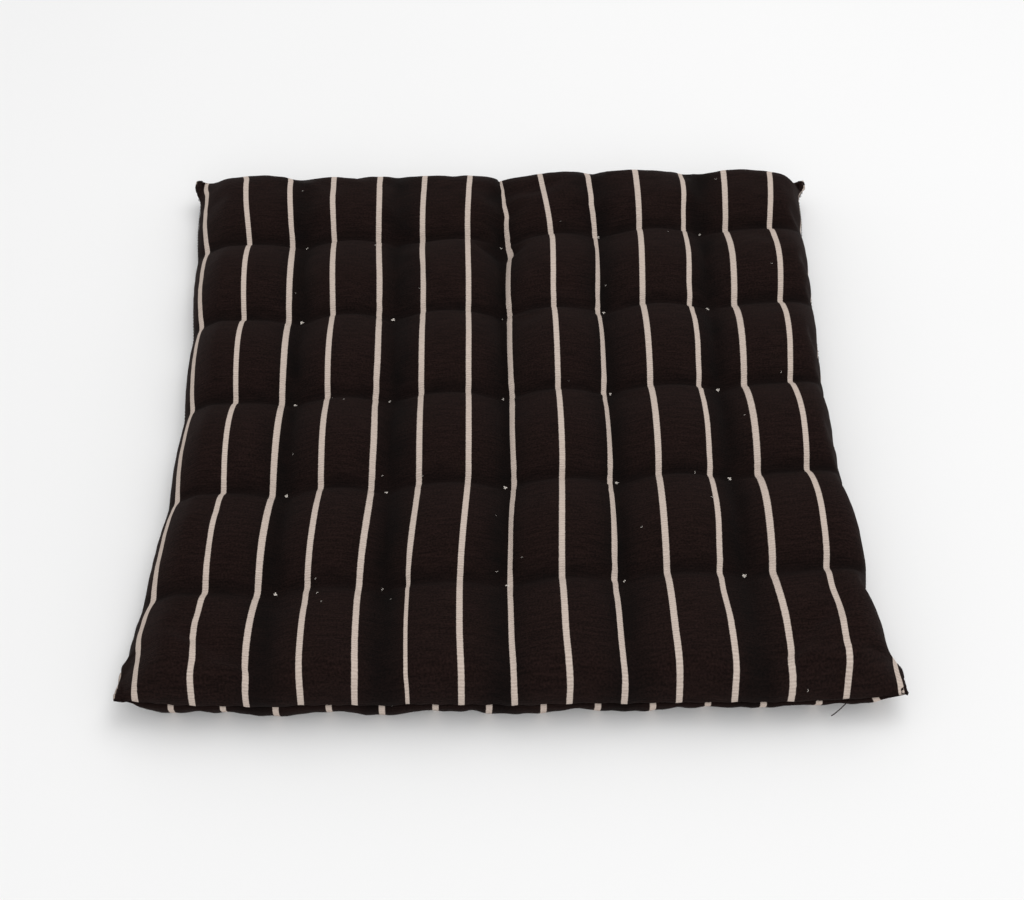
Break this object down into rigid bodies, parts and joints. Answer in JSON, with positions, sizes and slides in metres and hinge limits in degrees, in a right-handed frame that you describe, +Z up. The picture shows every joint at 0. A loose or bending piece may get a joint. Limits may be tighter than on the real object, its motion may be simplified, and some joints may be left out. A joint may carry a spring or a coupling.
{
  "type": "chair seat pad",
  "caption": "Thin square seat pad in dark brown cloth with pale stripes, quilted into puffed squares by rows of thread tufts that pass right through it.",
  "frame": {"origin": "on the floor, under the middle of the pad's outline", "axes": "+X to the right, +Y to the back edge, +Z up through the pad's thickness; the stripes run along Y"},
  "size_m": [0.4, 0.4, 0.042],
  "materials": {
    "top_cloth": "plain-woven dark brown cotton and linen cloth with fine ribs and thin woven off-white stripes, matt",
    "bottom_cloth": "the same striped cloth, with its stripes out of step with those of the top panel",
    "wadding": "carded natural cotton wadding, hidden inside",
    "core_felt": "thin needled felt sheet, hidden inside",
    "tie_thread": "off-white twisted cotton thread, knotted",
    "seam_thread": "dark brown sewing thread"
  },
  "bodies": {
    "root": {"top_cover": "top_cloth", "bottom_cover": "bottom_cloth", "wadding_upper": "wadding", "wadding_core": "core_felt", "wadding_lower": "wadding", "perimeter_seam_thread": "seam_thread", "closing_seam_thread": "seam_thread", "tuft_tie_r1c1": "tie_thread", "tuft_tie_r1c2": "tie_thread", "tuft_tie_r1c3": "tie_thread", "tuft_tie_r1c4": "tie_thread", "tuft_tie_r1c5": "tie_thread", "tuft_tie_r2c1": "tie_thread", "tuft_tie_r2c2": "tie_thread", "tuft_tie_r2c3": "tie_thread", "tuft_tie_r2c4": "tie_thread", "tuft_tie_r2c5": "tie_thread", "tuft_tie_r3c1": "tie_thread", "tuft_tie_r3c2": "tie_thread", "tuft_tie_r3c3": "tie_thread", "tuft_tie_r3c4": "tie_thread", "tuft_tie_r3c5": "tie_thread", "tuft_tie_r4c1": "tie_thread", "tuft_tie_r4c2": "tie_thread", "tuft_tie_r4c3": "tie_thread", "tuft_tie_r4c4": "tie_thread", "tuft_tie_r4c5": "tie_thread", "tuft_tie_r5c1": "tie_thread", "tuft_tie_r5c2": "tie_thread", "tuft_tie_r5c3": "tie_thread", "tuft_tie_r5c4": "tie_thread", "tuft_tie_r5c5": "tie_thread"}
  },
  "joints": []
}
